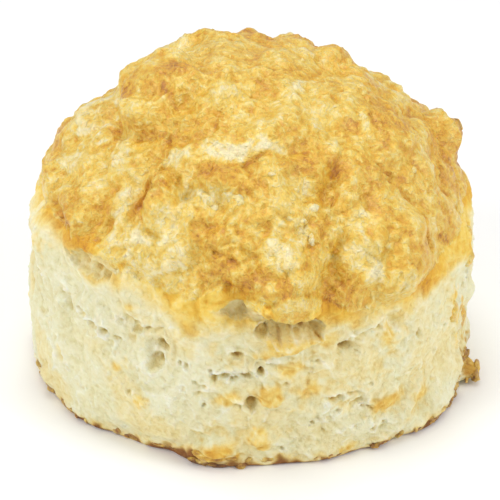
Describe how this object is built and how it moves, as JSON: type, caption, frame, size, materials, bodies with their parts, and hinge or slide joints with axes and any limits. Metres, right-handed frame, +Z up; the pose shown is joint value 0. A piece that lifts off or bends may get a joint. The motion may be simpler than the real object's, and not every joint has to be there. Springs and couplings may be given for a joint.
{
  "type": "scone",
  "caption": "Tall round cheese scone with a cracked golden dome, a pale torn side wall and a flat base to rest on.",
  "frame": {"origin": "centre of the bounding box's bottom face, on the flat base", "axes": "+Z up through the domed top, -Y towards the side with the torn pocket under the crust's lip"},
  "size_m": [0.071, 0.0722, 0.0519],
  "materials": {
    "crust": "golden baked cheese crust, matt with a faint sheen where the cheese melted",
    "crumb": "pale cream crumb, matt"
  },
  "bodies": {
    "root": {"scone": "crust"}
  },
  "joints": []
}
